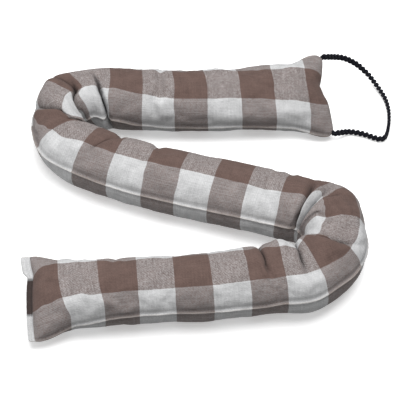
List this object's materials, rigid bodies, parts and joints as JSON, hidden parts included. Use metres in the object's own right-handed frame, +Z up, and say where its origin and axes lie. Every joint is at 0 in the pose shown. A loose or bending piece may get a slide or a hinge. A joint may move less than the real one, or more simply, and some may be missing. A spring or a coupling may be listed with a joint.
{
  "type": "draught excluder",
  "caption": "Filled gingham cloth tube with flat sewn ends, laid in an S, with a plaited cord loop at one end.",
  "frame": {"origin": "centre of the laid casing's box, on the surface that it lies on, without the cord", "axes": "+Z up from the surface, +Y away from the closed end's leg towards the leg with the cord, +X towards the cord"},
  "size_m": [0.3254, 0.3145, 0.0523],
  "materials": {
    "gingham_cloth": "matte woven cotton in brown, taupe and off-white checks",
    "plaited_cord": "black plaited cord with a slight sheen"
  },
  "bodies": {
    "root": {"filled_casing": "gingham_cloth", "cord_loop": "plaited_cord"}
  },
  "joints": []
}
